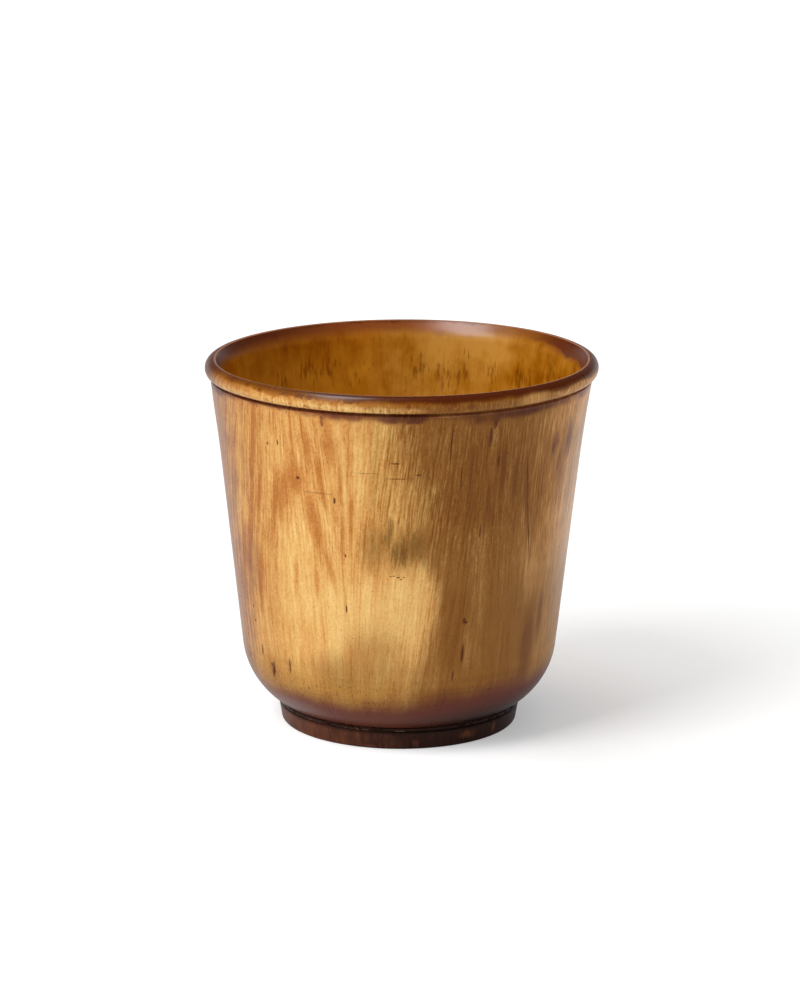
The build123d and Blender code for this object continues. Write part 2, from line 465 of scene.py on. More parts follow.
def build_lathe_tree():
    """Geometry nodes that turn an outline about Z, with an uneven face, chips and dents."""
    graph, given, result = node_group(
        "Lathe",
        "GeometryNodeTree",
        {
            "Outline": "Geometry",
            "Segments": 480,
            "Unevenness": 0.0,
            "Warp Angle": 0.0,
            "Warp Inwards": 0.0,
            "Warp Down": 0.0,
            "Warp From": 0.0,
            "Warp To": 1.0,
            "Chip Height": 0.0,
            "Chip Reach": 0.5 * MM,
            "Chip Depth": 0.0,
            "Dents": "Object",
            "Material": "Material",
            "Inside Material": "Material",
        },
        {"Mesh": "Geometry"},
    )

    def keep(geometry, kind, value):
        """A geometry that keeps a value at its points, and that value."""
        node = graph.add("GeometryNodeCaptureAttribute", domain="POINT")
        node.capture_items.new(kind, "Kept")
        graph.feed(node.inputs[0], geometry)
        graph.feed(node.inputs[1], value)
        return Value(graph, node.outputs[0]), Value(graph, node.outputs[1])

    # Sweep for the faces, keeping each point's place on the outline and its angle
    outline = graph.value("GeometryNodeMeshToCurve", {"Mesh": given["Outline"]})
    outline, place = keep(outline, "VECTOR", graph.value("GeometryNodeInputPosition"))
    circle = graph.value("GeometryNodeCurvePrimitiveCircle", {"Resolution": given["Segments"], "Radius": 1.0})
    circle, angle = keep(circle, "FLOAT", graph.value("GeometryNodeInputIndex") * TURN / given["Segments"])
    sweep = graph.value("GeometryNodeCurveToMesh", {"Curve": circle, "Profile Curve": outline})

    # Radius and height of each point, and its direction from the axis
    radius, _, height = graph.axes(place)
    across = graph.math("SINE", angle)
    depth = graph.math("COSINE", angle) * -1.0
    turned = graph.vector(across * radius, depth * radius, height)

    # Slow wander of the face, always inwards, and chips along one edge
    wander = graph.noise(turned, WANDER_SCALE) * given["Unevenness"]
    edge = abs((height - given["Chip Height"]) / given["Chip Reach"]).step(1.0, 0.2)
    chips = graph.noise(turned, CHIP_SCALE, 1.0).step(0.56, 0.68) * edge * given["Chip Depth"]

    # Single dents, each with its own reach and depth
    dents = graph.outputs("GeometryNodeObjectInfo", {"Object": given["Dents"]})["Geometry"]
    nearest = graph.value("GeometryNodeSampleNearest", {"Geometry": dents, "Sample Position": turned})

    def dent_value(name, data_type):
        value = graph.value("GeometryNodeInputNamedAttribute", {"Name": name}, data_type=data_type)
        values = {"Geometry": dents, "Index": nearest, "Value": value}
        return graph.value("GeometryNodeSampleIndex", values, data_type=data_type)

    offset = graph.vectors("SUBTRACT", turned, dent_value("position", "FLOAT_VECTOR"))
    shares = graph.vectors("DIVIDE", offset, dent_value("reach", "FLOAT_VECTOR"))
    dent = graph.vectors("LENGTH", shares, output="Value").step(1.0, 0.0) * dent_value("depth", "FLOAT")

    # One side of the rim pulled in and down
    lobe = graph.math("COSINE", angle - given["Warp Angle"]) * 0.5 + 0.5
    lobe = graph.math("POWER", lobe.spread(0.0, 1.0), 2.0)
    reach = given["Warp To"] - given["Warp From"]
    pull = lobe * ((height - given["Warp From"]) / reach).step(0.0, 1.0)
    inwards = wander + chips + dent + pull * given["Warp Inwards"]
    height = height - pull * given["Warp Down"]

    # Final places, finishes and a closed mesh
    radius = most(radius - inwards, 0.0)
    position = graph.vector(across * radius, depth * radius, height)
    shaped = graph.value("GeometryNodeSetPosition", {"Geometry": sweep, "Position": position})
    closed = graph.value("GeometryNodeMergeByDistance", {"Geometry": shaped, "Distance": MERGE_DISTANCE})
    values = {"Geometry": closed, "Material": given["Material"]}
    finished = graph.value("GeometryNodeSetMaterial", values)
    within = graph.value("GeometryNodeInputNamedAttribute", {"Name": "inside"}, data_type="FLOAT")
    values = {"Geometry": finished, "Material": given["Inside Material"]}
    values["Selection"] = graph.math("GREATER_THAN", within, 0.5)
    lined = graph.value("GeometryNodeSetMaterial", values)
    graph.feed(result["Mesh"], graph.value("GeometryNodeRealizeInstances", {"Geometry": lined}))
    return graph.tree


class Dent(NamedTuple):
    """A gouge in a turned face: degrees round from the front, then metres."""

    around: float
    radius: float
    height: float
    half_width: float
    half_length: float
    depth: float


def dent_points(dents):
    """Object whose points carry the reach and depth of each dent."""
    mesh = bpy.data.meshes.new("dents")
    places = []
    for dent in dents:
        around = radians(dent.around)
        places.append((dent.radius * sin(around), -dent.radius * cos(around), dent.height))
    mesh.from_pydata(places, [], [])
    mesh.attributes.new("reach", "FLOAT_VECTOR", "POINT")
    mesh.attributes.new("depth", "FLOAT", "POINT")
    for i, dent in enumerate(dents):
        mesh.attributes["reach"].data[i].vector = (dent.half_width, dent.half_width, dent.half_length)
        mesh.attributes["depth"].data[i].value = dent.depth
    return bpy.data.objects.new("dents", mesh)


def turn(name, outline, closed, material, inside_material=None, extras=None, dents=()):
    """Turns an outline into a piece's plain mesh object, with the lathe tree."""
    sizes = bpy.context.scene.cup_sizes
    mesh = bpy.data.meshes.new(name)
    count = len(outline.points)
    edges = [(i, i + 1) for i in range(count - 1)] + ([(count - 1, 0)] if closed else [])
    mesh.from_pydata([(p.x, 0, p.y) for p in outline.points], edges, [])
    inside = mesh.attributes.new("inside", "FLOAT", "POINT")
    inside.data.foreach_set("value", [float(flag) for flag in outline.inside])
    # Points of the crest's worn edge, which carry a painted highlight
    worn = mesh.attributes.new("worn", "FLOAT", "POINT")
    first = count if outline.worn_from is None else outline.worn_from
    worn.data.foreach_set("value", [float(i >= first) for i in range(count)])
    piece = bpy.data.objects.new(name, mesh)
    bpy.context.collection.objects.link(piece)

    marked = dent_points(dents) if dents else None
    tree = bpy.data.node_groups.get("Lathe") or build_lathe_tree()
    lathe = piece.modifiers.new("Lathe", "NODES")
    lathe.node_group = tree
    values = {
        "Segments": sizes.segments,
        "Unevenness": sizes.unevenness,
        "Dents": marked,
        "Material": material,
        "Inside Material": inside_material or material,
    }
    values |= extras or {}
    sockets = {item.name: item.identifier for item in tree.interface.items_tree if item.in_out == "INPUT"}
    for label, value in values.items():
        lathe[sockets[label]] = value

    bpy.context.view_layer.update()
    evaluated = piece.evaluated_get(bpy.context.evaluated_depsgraph_get())
    turned = bpy.data.meshes.new_from_object(evaluated)
    piece.modifiers.remove(lathe)
    piece.data = turned
    bpy.data.meshes.remove(mesh)
    if marked:
        bpy.data.objects.remove(marked)
    turned.name = name
    face_outwards(turned)
    return piece


def face_outwards(mesh):
    """Turns the faces outwards and shades them smooth between sharp edges."""
    shape = bmesh.new()
    shape.from_mesh(mesh)
    if any(len(edge.link_faces) != 2 for edge in shape.edges):
        raise RuntimeError(f"{mesh.name} isn't closed")
    bmesh.ops.recalc_face_normals(shape, faces=shape.faces)
    shape.to_mesh(mesh)
    shape.free()
    mesh.polygons.foreach_set("use_smooth", [True] * len(mesh.polygons))
    mesh.set_sharp_from_angle(angle=SHARP_ANGLE)


def place_on_frame(piece, node):
    """Makes a piece stand for its solid."""
    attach(piece, BODY)
    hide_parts(node)


def build_shader_groups():
    """Effects that the horn finishes share."""
    build_place_group()
    build_fibre_group()
    build_stain_group()
    build_pit_group()


def build_place_group():
    """Place on the cup: angle round from the front, and height and radius in millimetres."""
    outputs = {"Angle": "Float", "Height": "Float", "Radius": "Float"}
    graph, _, result = node_group("Cup Place", "ShaderNodeTree", {}, outputs)
    x, y, z = graph.axes(graph.point())
    graph.feed(result["Angle"], graph.math("ARCTAN2", x, y * -1.0))
    graph.feed(result["Height"], z * (1 / MM))
    graph.feed(result["Radius"], graph.math("SQRT", x * x + y * y) * (1 / MM))


def build_fibre_group():
    """Fibres that run up the wall and close up round the back."""
    inputs = {"Angle": 0.0, "Height": 0.0, "Fibres Around": 300.0, "Fibre Length": 10.0}
    inputs |= {"Wander": 0.0, "Detail": 2.0, "Roughness": 0.5, "Seed": 0.0}
    graph, given, result = node_group("Horn Fibre", "ShaderNodeTree", inputs, {"Fibre": "Float"})

    def round_cup(angle, scale, up):
        return graph.vector(graph.math("COSINE", angle) * scale, graph.math("SINE", angle) * scale, up)

    slow = round_cup(given["Angle"], 2.5, given["Height"] * 0.045)
    bent = given["Angle"] + (graph.noise(slow) - 0.5) * given["Wander"]
    up = given["Height"] / given["Fibre Length"] + given["Seed"]
    along = round_cup(bent, given["Fibres Around"] * (1 / TURN), up)
    fibre = graph.noise(along, 1.0, given["Detail"], given["Roughness"])
    graph.feed(result["Fibre"], fibre * 2.0 - 0.5)


def build_stain_group():
    """One soft-edged mark at a place on the wall."""
    inputs = {"Angle": 0.0, "Height": 0.0, "At Angle": 0.0, "At Height": 0.0}
    inputs |= {"Half Width": 1.0, "Half Length": 1.0, "Lean": 0.0}
    graph, given, result = node_group("Stain", "ShaderNodeTree", inputs, {"Mask": "Float"})
    rise = given["Height"] - given["At Height"]
    sideways = graph.math("WRAP", given["Angle"] - given["At Angle"], pi, -pi) * WALL_RADIUS
    across = (sideways - rise * given["Lean"]) / given["Half Width"]
    along = rise / given["Half Length"]
    away = graph.math("SQRT", across * across + along * along)
    graph.feed(result["Mask"], most(1.0 - away, 0.0))


def build_pit_group():
    """Short dark pits along the grain."""
    inputs = {"Angle": 0.0, "Height": 0.0, "Pits Around": 260.0, "Pit Length": 2.0, "Sparseness": 1.0}
    graph, given, result = node_group("Grain Pits", "ShaderNodeTree", inputs, {"Mask": "Float"})
    values = {"Angle": given["Angle"], "Height": given["Height"], "Wander": 0.1, "Detail": 1.0}
    values |= {"Fibres Around": given["Pits Around"], "Fibre Length": given["Pit Length"]}
    fibre = graph.group("Horn Fibre", values)["Fibre"]
    graph.feed(result["Mask"], (fibre - given["Sparseness"]).step(0.0, 0.1))


class Mark(NamedTuple):
    """A stain, crack or pit: degrees round from the front, then millimetres; lean is sideways per height."""

    around: float
    height: float
    half_width: float
    half_length: float
    lean: float = 0.0


def marks(*rows):
    """Marks from rows of their numbers."""
    return tuple(Mark(*row) for row in rows)


# Where light horn gives way to dark, a border partly the horn's own and partly a painted sheen: height,
# degrees round
LIGHT_BORDER = (
    (8, 2.0), (18, 3.0), (24, 7.0), (30, 10.5), (38, 12.5),
    (45, 10.0), (50, 6.5), (62, 5.0), (70, 1.5), (83, -2.0),
)
# How wide that border is: height, degrees
BORDER_SOFTNESS = (
    (8, 10.0), (20, 9.0), (30, 5.0), (38, 3.0), (46, 4.0),
    (54, 9.0), (62, 11.0), (72, 8.0), (83, 7.0),
)
# Marks by what they show: degrees round, height, half width, half length, lean
GLOW = marks(
    (-17, 36, 17, 14), (1, 37, 9.5, 11), (8, 47.5, 1.2, 5, 0.1), (-35, 50, 6, 10), (-41, 71, 2.4, 9),
    (-12.5, 66, 2.2, 14), (-24, 57, 1.8, 7, -0.2), (170, 34, 14, 15), (-148, 32, 9, 13),
    (-176, 70, 3, 12), (137, 62, 2.6, 13),
)
OLIVE_SMUDGES = marks(
    (-4.6, 53.5, 1.9, 6, 0.2), (1.6, 50.6, 4, 5.5, 0.3), (6.5, 52.5, 2.4, 5, 0.1),
)
OLIVE_SHADES = marks(
    (3, 51, 9, 8, 0.1), (-9, 51, 4, 8), (-9, 24, 12, 12), (-20, 20.5, 12, 8),
)
RUST_STREAKS = marks(
    (-51, 72, 1.3, 15, 0.2), (-57, 52, 1.6, 17, 0.22), (-50, 62, 1, 13, 0.22),
    (-43.5, 58, 1.5, 17, 0.2), (-39, 62, 2.4, 11, 0.2), (-29, 73, 1.1, 10, -0.12),
    (-25, 66, 1.1, 12, -0.16), (-28, 56, 2.8, 12, -0.22), (-23, 45, 1.2, 9, -0.24),
    (-15.4, 58, 0.8, 11, 0.06), (-18.2, 54, 0.8, 11, 0.03), (-21.5, 75, 2.4, 10, -0.05),
    (-18.5, 66, 0.9, 9), (-28.4, 41.5, 1, 6), (-36.3, 43, 1, 9, 0.1), (-18.2, 38, 0.6, 6),
    (-54, 40, 1.9, 11, 0.15), (-64, 44, 2.4, 14, 0.2), (-34, 66, 4, 6), (176, 62, 2.2, 18, 0.05),
    (160, 48, 1.4, 22, 0.05), (146, 66, 3, 14, 0.1), (128, 44, 1.6, 20, 0.08),
    (-168, 40, 1.4, 16, -0.05), (-154, 64, 2.8, 16, -0.08), (-139, 52, 1.8, 20, -0.1),
    (-122, 68, 1.6, 12, -0.1),
)
TAN_STREAKS = marks(
    (24.6, 28, 3.4, 10), (27.6, 37, 3.4, 11), (50, 75, 8, 14), (12, 20, 9, 7), (26, 50, 2.4, 10, -0.05),
    (47, 42, 6, 12), (38.5, 84.4, 4, 2.2), (54, 84.6, 6, 1.6),
)
# Golden places on the bead, partly a painted highlight
BEAD_GOLD = marks(
    (41.5, 84.7, 6, 2.4), (2, 83.9, 5, 1.1),
)
PLUM_STAINS = marks(
    (63.5, 72, 3, 7.5, 0.15), (59, 68, 1.6, 6, 0.15), (54.8, 72, 2.4, 6, 0.1), (31, 71, 0.5, 4),
    (27.5, 76.5, 0.6, 3),
)
BROWN_STAINS = marks(
    (51.5, 24, 4.6, 15), (57.5, 30, 2.2, 10), (33, 68, 1.1, 8, 0.04), (38, 66, 1.4, 9),
    (43.5, 60, 1, 12, -0.12), (28.5, 62, 1, 9), (22, 70, 0.8, 8, 0.03), (-51.8, 17.8, 1.3, 3.4, 0.25),
    (-42.5, 19.8, 0.7, 3), (22.4, 25.2, 0.9, 3.6, 0.06), (22.6, 33, 1.1, 1.2),
)
GROOVE_RUNS = marks(
    (-62, 82.2, 9, 1), (-48.5, 82, 4, 1.3), (-38, 82.2, 5, 0.8), (-23.2, 81.4, 1.2, 2.6),
    (2.5, 81.3, 5, 0.8), (1, 82.2, 7, 1), (25.5, 81.4, 6, 2.4), (28.4, 80.6, 1, 2.6), (42, 82, 8, 1.6),
    (56, 81.8, 9, 2), (68, 81.9, 7, 2.2), (-29, 82.2, 8, 1.6),
)
BEAD_STAINS = marks(
    (-58, 86.2, 5, 0.9), (-50, 86.3, 2, 0.8), (-44, 85.8, 1.2, 0.7), (2, 85, 1, 1), (-14, 86, 4, 0.8),
    (-30, 85.9, 6, 0.7), (14, 85.2, 2, 1), (20, 84.6, 1.4, 1),
)
LIP_GLOSS = marks((-19, 87.2, 12, 1.3))
BOWL_GLOSS = marks((-46, 9, 14, 3))
EDGE_GLOSS = marks((72, 54, 13, 36))
CRACKS = marks(
    (15.2, 75.6, 0.2, 6, 0.04), (43.2, 65.5, 0.22, 6.4, -0.14), (45.8, 53, 0.17, 10, -0.17),
    (22.4, 25.2, 0.32, 2.8, 0.06), (19.2, 20, 0.26, 1.8, 0.06), (-51.8, 17.8, 0.42, 2.4, 0.25),
    (-52.6, 18.8, 0.3, 0.8, 0.2), (26.2, 54.5, 0.22, 2), (18.8, 67, 0.14, 4, 0.02),
    (166, 24, 0.26, 4.6, 0.06), (-160, 72, 0.2, 7, -0.06), (133, 33, 0.22, 5, 0.1),
    (-133, 20, 0.3, 2.6, -0.1),
)
PITS = marks(
    (-44, 73.2, 0.32, 0.42), (-39.7, 73.9, 0.28, 0.85), (-33, 66.3, 0.6, 0.46), (-20.6, 61.9, 0.4, 0.9),
    (-17.9, 36.2, 0.28, 1.2), (-61.5, 31.6, 0.42, 0.42), (-61, 28.2, 0.42, 0.42),
    (-17.6, 49, 0.28, 0.55), (22.4, 33.5, 0.34, 0.65), (22.9, 32.8, 0.68, 0.36), (-58, 21.5, 0.42, 1.6),
    (-42.5, 19.8, 0.2, 2), (-0.4, 44.4, 0.5, 0.2), (-1.9, 44.7, 0.4, 0.18), (0.5, 43.9, 0.3, 0.2),
    (-2.9, 44.6, 0.25, 0.2), (1.4, 44.4, 0.2, 0.25), (179, 48, 0.4, 0.8), (151, 57, 0.5, 0.45),
    (-146, 44, 0.34, 0.9), (-171, 27, 0.42, 0.5),
)
SCRATCHES = marks(
    (-1.4, 71.4, 1.3, 0.26), (-0.9, 67.8, 2.8, 0.17), (5.6, 68.7, 0.9, 0.28),
    (-26.5, 63.3, 5, 0.09, 20), (-10, 68.9, 3.6, 0.08, -9),
)
# How pale the inside is: share of a turn from the back, shift of the grain
LINING_LIGHT = (
    (0.0, 0.62), (0.07, 0.66), (0.16, 0.7), (0.5, 0.6),
    (0.8, 0.42), (0.88, 0.5), (0.94, 0.64), (1.0, 0.62),
)
LINING_STREAKS = marks(
    (158.5, 75, 3.4, 7, -0.2), (166, 73.5, 3, 6), (173, 75, 4, 6), (134, 75.5, 5.5, 6), (120, 78, 4, 6),
    (147, 75.5, 4, 5), (-146, 75.5, 5.5, 5), (-155, 75, 4, 5), (-163, 72.6, 4, 4), (-136, 74, 4, 4),
)
FOOT_STREAKS = marks(
    (34.5, 2.4, 5, 1.8), (8, 1.6, 2, 1.8), (-32, 0.9, 6, 0.8), (-14, 0.7, 9, 0.6), (52, 2.6, 2, 2),
    (-50, 2.2, 9, 1.6),
)
FOOT_CHIPS = marks(
    (-20, 4.6, 8, 0.3), (0.5, 4.6, 3.4, 0.3), (-44, 4.6, 6, 0.25),
)
GOUGE = Dent(-51.6, 36.5 * MM, 17.6 * MM, 0.9 * MM, 2.0 * MM, 0.45 * MM)


class Finish:
    """A material under construction: its graph, its shader and the place on the cup."""

    def __init__(self, name, specular):
        self.colours = bpy.context.scene.horn_colours
        self.material = bpy.data.materials.new(name)
        self.graph = empty_graph(self.material)
        output = self.graph.add("ShaderNodeOutputMaterial")
        values = {"Specular IOR Level": specular, "Coat Roughness": COAT_ROUGHNESS, "Coat IOR": COAT_IOR}
        self.shader = self.graph.add("ShaderNodeBsdfPrincipled", values)
        self.graph.feed(output.inputs["Surface"], Value(self.graph, self.shader.outputs[0]))
        place = self.graph.group("Cup Place")
        self.angle, self.height, self.radius = place["Angle"], place["Height"], place["Radius"]
        self.degrees = self.angle * (180 / pi)

    def rings(self, around, height, seed):
        """Uneven rings left by turning, with noise scales per degree and per millimetre of height."""
        return self.graph.noise(self.graph.vector(self.degrees * around, self.height * height, seed))

    def fibre(self, around, length, wander=0.05, detail=2.0, roughness=0.5, seed=0.0, angle=None):
        """Fibres along the grain, so many round the cup and so many millimetres long, round one half."""
        values = {"Angle": angle or self.angle, "Height": self.height, "Wander": wander, "Detail": detail}
        values |= {"Fibres Around": float(around), "Fibre Length": float(length)}
        values |= {"Roughness": roughness, "Seed": seed}
        return self.graph.group("Horn Fibre", values)["Fibre"]

    def pits(self, around, length, sparseness):
        """A mask of short pits along the grain; a sparseness of about 1 leaves few of them."""
        values = {"Angle": self.angle, "Height": self.height, "Sparseness": sparseness}
        values |= {"Pits Around": float(around), "Pit Length": float(length)}
        return self.graph.group("Grain Pits", values)["Mask"]

    def near(self, marks):
        """How near the middle of the nearest mark lies: 1 there and 0 at its edge."""
        masks = []
        for mark in marks:
            values = {"Angle": self.angle, "Height": self.height, "Lean": mark.lean}
            values |= {"At Angle": radians(mark.around), "At Height": mark.height}
            values |= {"Half Width": mark.half_width, "Half Length": mark.half_length}
            masks.append(self.graph.group("Stain", values)["Mask"])
        return most(*masks)

    def crisp(self, marks):
        """A mask of marks with clear edges."""
        return self.near(marks).step(0.0, 0.45)

    def soft(self, marks):
        """A mask of marks that fade out."""
        return self.near(marks).step(0.0, 0.8)

    def ragged(self, marks, texture):
        """A mask of marks that a texture round zero dissolves."""
        near = self.near(marks)
        return (near * 1.3 + texture).step(0.2, 1.1) * near.step(0.0, 0.25)

    def finish(self, base_colour, roughness, height, bump_distance, coat=0.0):
        """Connects what varies over the surface."""
        values = {"Strength": 1.0, "Distance": bump_distance, "Height": height}
        normal = self.graph.value("ShaderNodeBump", values)
        values = {"Base Color": base_colour, "Roughness": roughness, "Normal": normal, "Coat Weight": coat}
        for name, value in values.items():
            self.graph.feed(self.shader.inputs[name], value)
        return self.material


def grain_angle(finish):
    """Angle round the cup, bent along the grain: an arch on the left and a slight lean in the middle."""
    angle, around, height = finish.angle, finish.degrees, finish.height
    drop = 82.0 - most(height, 36.0)
    share = 1.0 / (drop * 0.02 + 1.0)
    arch = (angle - radians(-36)) * (share - 1.0) * around.window(-105, -60, -30, -14)
    lean = around.window(-22, -8, 16, 34) * (-0.1 / WALL_RADIUS)
    return angle + arch + (height - 50.0) * lean


class WallGrain(NamedTuple):
    """Patterns of the wall's horn, round one half; bands and ragged are round zero."""

    coarse: Value
    streak: Value
    fine: Value
    short: Value
    cloud: Value
    slow: Value
    pores: Value
    bands: Value
    whole: Value
    ragged: Value


def wall_grain(finish):
    """Grain from broad bands to threads, with clouds and pores."""
    around, height = finish.degrees, finish.height
    bent = grain_angle(finish)
    broad = finish.fibre(26, 60, 0.1, 2.0, 0.5, 2.0, bent)
    coarse = finish.fibre(70, 50, 0.08, angle=bent)
    streak = finish.fibre(210, 30, 0.06, 2.0, 0.6, 11.0, bent)
    fine = finish.fibre(560, 16, 0.03, 2.0, 0.6, 3.0, bent)
    short = finish.fibre(640, 3.5, 0.02, 3.0, 0.65, 23.0, bent)
    cloud = finish.fibre(34, 8, 0.1, 5.0, 0.62, 5.0)
    slow = finish.fibre(12, 14, 0.1, 1.0, 0.5, 19.0)
    pores = finish.fibre(500, 0.6, 0.0, 2.0, 0.5, 7.0)
    smooth = around.window(26, 52, 80, 110)
    pores = pores - pores * smooth * 0.7 + smooth * 0.35

    # Bands are calmer in the middle of the front, and threads clearer in the upper half
    centre = around.window(-18, -6, 18, 36) * height.window(42, 52, 90, 95)
    bands = ((broad + coarse + streak) * 0.3 - 0.45) * centre.spread(1.0, 0.55)
    threads = ((fine + short) * 0.5 - 0.5) * height.step(38, 56).spread(0.85, 1.35)
    bands = (bands + threads) * height.step(12, 26).spread(0.6, 1.0)
    whole = bands + cloud * 0.24 + pores * 0.34 + 0.21
    return WallGrain(coarse, streak, fine, short, cloud, slow, pores, bands, whole, whole * 2.0 - 1.0)


def light_horn(finish, grain, heights):
    """Light horn: paler low on the front and along the bead, darker round the back, with rust streaks."""
    colours, around, height = finish.colours, finish.degrees, finish.height
    bead = (height - heights.bead / MM).window(-2.2, -1.4, -0.6, 0.2)
    back = abs(around).step(90, 130)
    low = height.step(54, 40) * around.window(-50, -32, 20, 40)
    rust = finish.soft(RUST_STREAKS) * (grain.fine * 1.1 + grain.short * 0.7 - 0.1)
    rust = rust * around.window(-112, -92, 92, 112).spread(0.45, 1.0)
    # Paler along the bead's lower face: partly the horn's own colour, partly a painted highlight
    pale = grain.whole + low * 0.14 - back * 0.25 + bead * 0.3 + finish.soft(GLOW) * 0.23 - rust * 0.48
    tone = (pale * RAMP_ROOM).ramp(
        (0.04, colours.rust),
        (0.264, colours.gold),
        (0.4, colours.straw),
        (0.536, colours.wheat),
        (0.76, colours.cream),
        (0.98, colours.ivory),
    )

    # Pinkish flank on the left
    uneven = around + grain.cloud * 14.0 + grain.streak * 16.0 - 15.0
    flank = uneven.window(-124, -86, -76, -56) * around.window(-150, -130, -50, -40)
    tone = tone.mix(flank * 0.5, colours.rose).tint(flank, colours.blush)

    # Greenish fibres and smudges in the middle
    middle = around.window(-15, -6, 10, 18) * height.window(43, 52, 90, 95)
    tone = tone.tint(middle * grain.streak.spread(0.6, 0.0), colours.sage)
    torn = (grain.streak + grain.fine + grain.short) * 1.6 + grain.cloud * 0.6 - 2.7
    tone = tone.tint(finish.ragged(OLIVE_SMUDGES, torn) * 0.9, colours.olive)
    return tone.tint(finish.soft(OLIVE_SHADES) * 0.5, colours.olive)


def dark_horn(finish, grain):
    """Dark horn of the right side, paler low down and towards its far edge, with plum stains."""
    colours, around, height = finish.colours, finish.degrees, finish.height
    upper = height.step(34, 56)
    beside = around.window(36, 66, 84, 120)
    streaks = finish.soft(TAN_STREAKS) * grain.streak.spread(0.04, 0.26)
    deep = grain.whole * upper.spread(0.42, 0.72) + beside * upper.spread(0.24, 0.36) + streaks
    deep = deep + height.step(64, 40) * 0.3 + height.window(70, 78, 84, 87) * 0.09 + 0.14
    tone = (deep * RAMP_ROOM).ramp(
        (0.056, colours.bark), (0.4, colours.umber), (0.64, colours.tan), (0.92, colours.sand)
    )
    tone = tone.shade(beside * upper.spread(0.1, 0.5) + 1.0)
    blots = finish.ragged(PLUM_STAINS, grain.ragged)
    return tone.tint(blots * 0.8, colours.violet).mix(blots * grain.short.spread(0.1, 0.8), colours.plum)


def dark_side(finish, grain):
    """Where dark horn takes over, beyond a border that is sharp below and streaky above."""
    around, height = finish.degrees, finish.height
    # The pale side is partly the horn's own colour and partly a painted sheen of the softbox on the left
    beyond = (around - height.curve(LIGHT_BORDER)) / height.curve(BORDER_SOFTNESS) - grain.bands * 0.9
    return beyond.step(-1.0, 1.0) * around.step(150, 95)


def bowl_bottom(finish, grain, tone, side):
    """The wall browner and ringed towards the shoulder, then reddish, and darkened low on the right with
    painted shade.
    """
    colours, around, height = finish.colours, finish.degrees, finish.height
    right = around.window(-10, 44, 110, 175)
    rings = finish.rings(0.01, 1.1, 4.0)
    brown = height.step(26, 12.5) * rings.spread(0.6, 1.4) * side.spread(1.0, 0.15)
    tone = tone.tint(brown, colours.honey)
    tone = tone.shade(height.window(8, 12, 19, 24) * (rings * 0.5 - 0.25) + 1.0)

    # Reddish bottom, which reaches higher on the right and less high at both sides of the front
    sides = abs(around + 6.0).step(30, 50)
    edge = height + grain.slow * 2.2 + grain.cloud * 1.4 + grain.streak * 0.9 + grain.short * 0.6
    edge = edge - right * 3.6 + sides * 1.5 - 2.55
    tone = tone.mix(edge.step(16.0, 9.8) * 0.95, colours.mauve)

    # Dark turning lines, and painted shade low on the right, nearly pitch-black just above the foot
    lines = finish.rings(0.05, 3.0, 9.0).step(0.56, 0.7) * height.window(8, 12, 15, 19)
    tone = tone.mix(lines * 0.3, colours.soot)
    # Painted shade: the low right side darkened, then given the pitch colour near the foot
    tone = tone.shade((height.step(15, 9) * right).spread(1.0, 0.58))
    return tone.mix(height.step(11.5, 5.8) * right.spread(0.2, 0.95), colours.pitch)


def dry_side(finish):
    """Right side of the rim, where the groove holds less stain and is paled with painted light."""
    return finish.degrees.window(0, 16, 110, 170)


def groove_stain(finish, grain, tone, heights):
    """The wall stained in the groove, most on the light side, and down along the grain, with painted light in
    the groove on the right.
    """
    colours, height = finish.colours, finish.height
    groove = heights.neck / MM + 0.3
    right_rim = dry_side(finish)
    line = abs(height - groove).step(0.9, 0.3)
    # Painted light: sand in the groove on the right, which pales the groove's own shade
    tone = tone.mix(line * right_rim * 0.6, colours.sand)
    below = height + grain.ragged * 0.2 + grain.cloud * 1.3 + grain.slow * 1.6 - (groove + 1.35)
    smear = below.step(-2.2, 0.0) * height.step(groove + 0.6, groove - 0.2)
    runs = most(finish.ragged(GROOVE_RUNS, grain.ragged) * 0.85, smear)
    runs = runs * grain.coarse.spread(0.6, 1.2) * grain.short.spread(0.75, 1.15)
    stain = most(line * right_rim.spread(0.75, 0.0), runs * right_rim.spread(0.9, 0.8))
    return tone.tint(stain.step(0.0, 0.8), colours.violet).mix(stain.step(0.2, 1.0) * 0.65, colours.plum)


